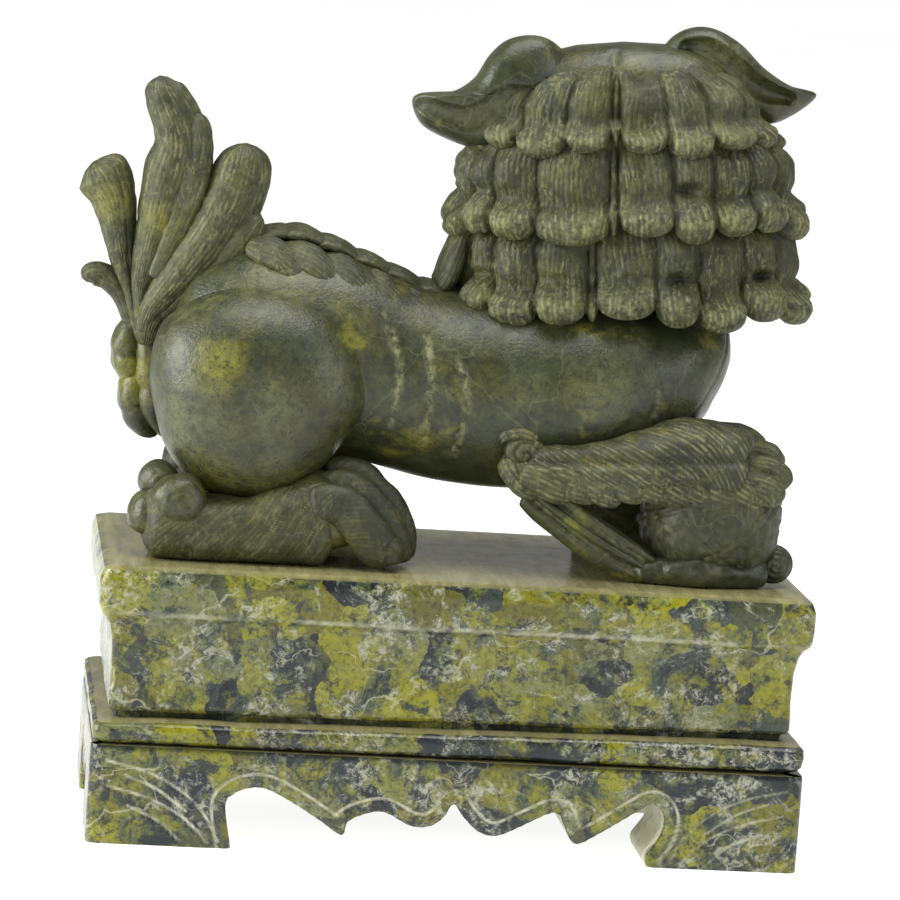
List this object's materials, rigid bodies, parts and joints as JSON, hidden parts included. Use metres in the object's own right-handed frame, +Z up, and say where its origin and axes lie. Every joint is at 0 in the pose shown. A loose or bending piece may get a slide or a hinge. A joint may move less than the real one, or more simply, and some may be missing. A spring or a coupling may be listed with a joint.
{
  "type": "foo dog statue",
  "caption": "Carved stone guardian lion standing side-on on a scalloped plinth, its head turned away and a paw on a brocade ball.",
  "frame": {"origin": "under the middle of the whole length and depth, at the height of the plinth's feet", "axes": "+X from the tail to the chest, +Y the way the face looks, across the plinth's depth, +Z up"},
  "size_m": [0.1668, 0.077, 0.1833],
  "materials": {
    "lion_stone": "polished olive-green serpentine stone",
    "plinth_stone": "polished mottled yellow, green and grey serpentine stone"
  },
  "bodies": {
    "root": {"plinth_apron": "plinth_stone", "plinth_bead": "plinth_stone", "plinth_waist": "plinth_stone", "plinth_slab": "plinth_stone", "torso": "lion_stone", "brocade_ball": "lion_stone", "left_haunch": "lion_stone", "right_haunch": "lion_stone", "left_hind_foot": "lion_stone", "right_hind_foot": "lion_stone", "right_foreleg": "lion_stone", "left_foreleg": "lion_stone", "ball_ribbon": "lion_stone", "ribbon_knot": "lion_stone", "tail_root": "lion_stone", "tail_plume_tall": "lion_stone", "tail_plume_front": "lion_stone", "tail_plume_rear": "lion_stone", "tail_curl_low": "lion_stone", "tail_tuft": "lion_stone", "spine_mane": "lion_stone", "head": "lion_stone", "muzzle": "lion_stone", "lower_jaw": "lion_stone", "beard": "lion_stone", "mane_lower": "lion_stone", "mane_middle": "lion_stone", "mane_crown": "lion_stone", "left_ear": "lion_stone", "right_ear": "lion_stone"}
  },
  "joints": []
}
